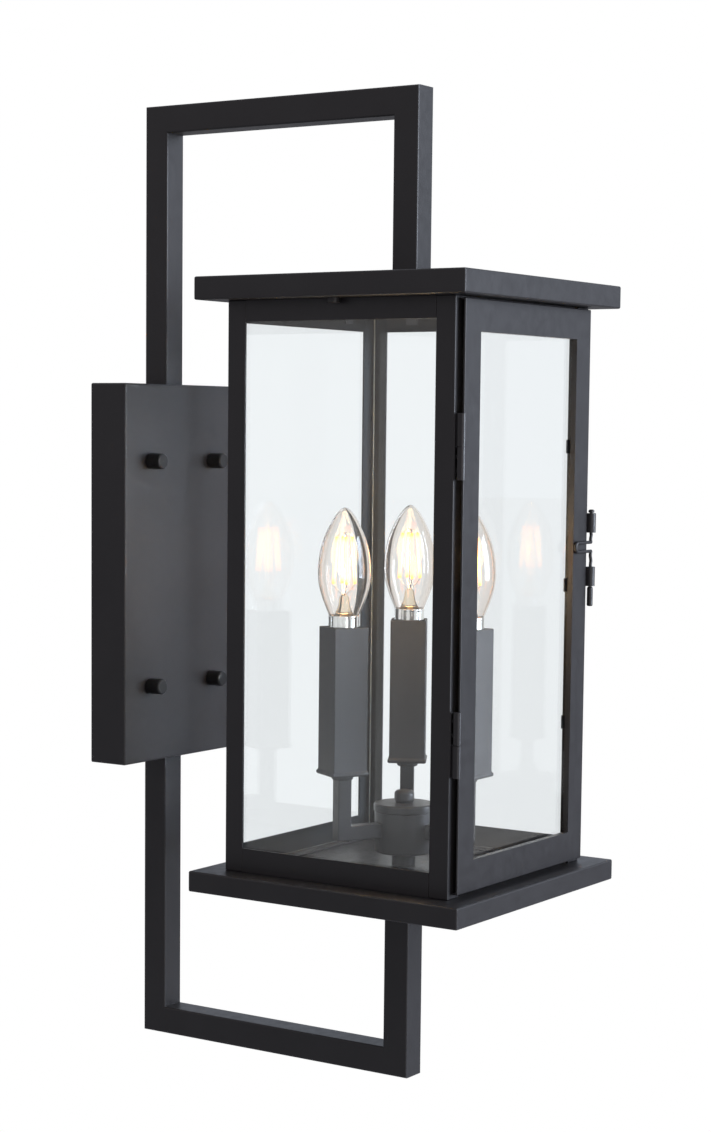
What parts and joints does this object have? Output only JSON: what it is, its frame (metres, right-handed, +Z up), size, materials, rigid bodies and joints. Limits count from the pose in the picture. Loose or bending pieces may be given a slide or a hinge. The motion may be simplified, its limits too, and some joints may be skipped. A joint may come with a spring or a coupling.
{
  "type": "outdoor wall lantern",
  "caption": "Square glazed outdoor wall lantern with candle lamps, a hinged latched door and a closed-loop square-tube wall bracket",
  "frame": {"origin": "centre of the back plate's open back, on the wall plane, midway between the two wall screw slots", "axes": "+Z up, +Y into the wall, so the lantern stands off the wall towards -Y; +X to the right of someone who faces the wall"},
  "size_m": [0.207, 0.324, 0.658],
  "materials": {
    "satin_black": "satin black powder coat",
    "sleeve_black": "matt charcoal-black paint on the candle sleeves",
    "cap_nut_black": "black-plated cap nuts with a slight sheen",
    "clear_glass": "clear flat glass",
    "bulb_glass": "clear blown glass",
    "filament": "phosphor-coated light rods on a glass stem, lit warm",
    "lamp_cap": "nickel-plated lamp cap and collar",
    "zinc": "zinc-plated steel",
    "socket_plastic": "black phenolic lamp holder",
    "wire_jacket": "black insulated fixture wire"
  },
  "bodies": {
    "fixture": {"back_leg": "satin_black", "backplate": "satin_black", "base_bottom": "satin_black", "base_tray": "satin_black", "bottom_bar": "satin_black", "bottom_rails": "satin_black", "cap_nuts": "cap_nut_black", "feed_cable": "wire_jacket", "front_arm": "satin_black", "front_left_post": "satin_black", "front_right_post": "satin_black", "front_sleeve": "sleeve_black", "front_socket": "socket_plastic", "hinge_pins": "satin_black", "hinge_screws": "satin_black", "hub_body": "satin_black", "hub_knob": "satin_black", "hub_lid": "satin_black", "lamp_leads": "wire_jacket", "latch_catch": "satin_black", "left_arm": "satin_black", "left_glass": "clear_glass", "left_sleeve": "sleeve_black", "left_socket": "socket_plastic", "lower_front_leg": "satin_black", "mounting_strap": "zinc", "nipple_nuts": "zinc", "pane_clips": "satin_black", "post_hinge_leaves": "satin_black", "rear_glass": "clear_glass", "rear_left_post": "satin_black", "rear_right_post": "satin_black", "right_arm": "satin_black", "right_glass": "clear_glass", "right_sleeve": "sleeve_black", "right_socket": "socket_plastic", "roof_cap": "satin_black", "roof_ceiling": "satin_black", "roof_screws": "satin_black", "stem_nipple": "zinc", "stem_tube": "satin_black", "strap_studs": "zinc", "top_bar": "satin_black", "top_rails": "satin_black", "upper_front_leg": "satin_black"},
    "door": {"door_frame": "satin_black", "door_glass": "clear_glass", "door_clips": "satin_black", "door_hinge_leaves": "satin_black", "latch_bracket": "satin_black"},
    "latch": {"latch_loop": "satin_black"},
    "front_bulb": {"front_bulb_cap": "lamp_cap", "front_bulb_glass": "bulb_glass", "front_bulb_filament": "filament"},
    "left_bulb": {"left_bulb_cap": "lamp_cap", "left_bulb_glass": "bulb_glass", "left_bulb_filament": "filament"},
    "right_bulb": {"right_bulb_cap": "lamp_cap", "right_bulb_glass": "bulb_glass", "right_bulb_filament": "filament"}
  },
  "joints": [
    {"name": "door_hinge", "type": "hinge", "parent": "fixture", "child": "door", "pos_m": [-0.0844, -0.3111, 0], "axis": [0, 0, -1], "range_deg": [0, 150]},
    {"name": "latch_swing", "type": "hinge", "parent": "door", "child": "latch", "pos_m": [0.0846, -0.3124, 0], "axis": [0, 0, 1], "range_deg": [0, 240]},
    {"name": "front_bulb_unscrew", "type": "slide", "parent": "fixture", "child": "front_bulb", "axis": [0, 0, 1], "range_m": [0, 0.02]},
    {"name": "left_bulb_unscrew", "type": "slide", "parent": "fixture", "child": "left_bulb", "axis": [0, 0, 1], "range_m": [0, 0.02]},
    {"name": "right_bulb_unscrew", "type": "slide", "parent": "fixture", "child": "right_bulb", "axis": [0, 0, 1], "range_m": [0, 0.02]}
  ]
}
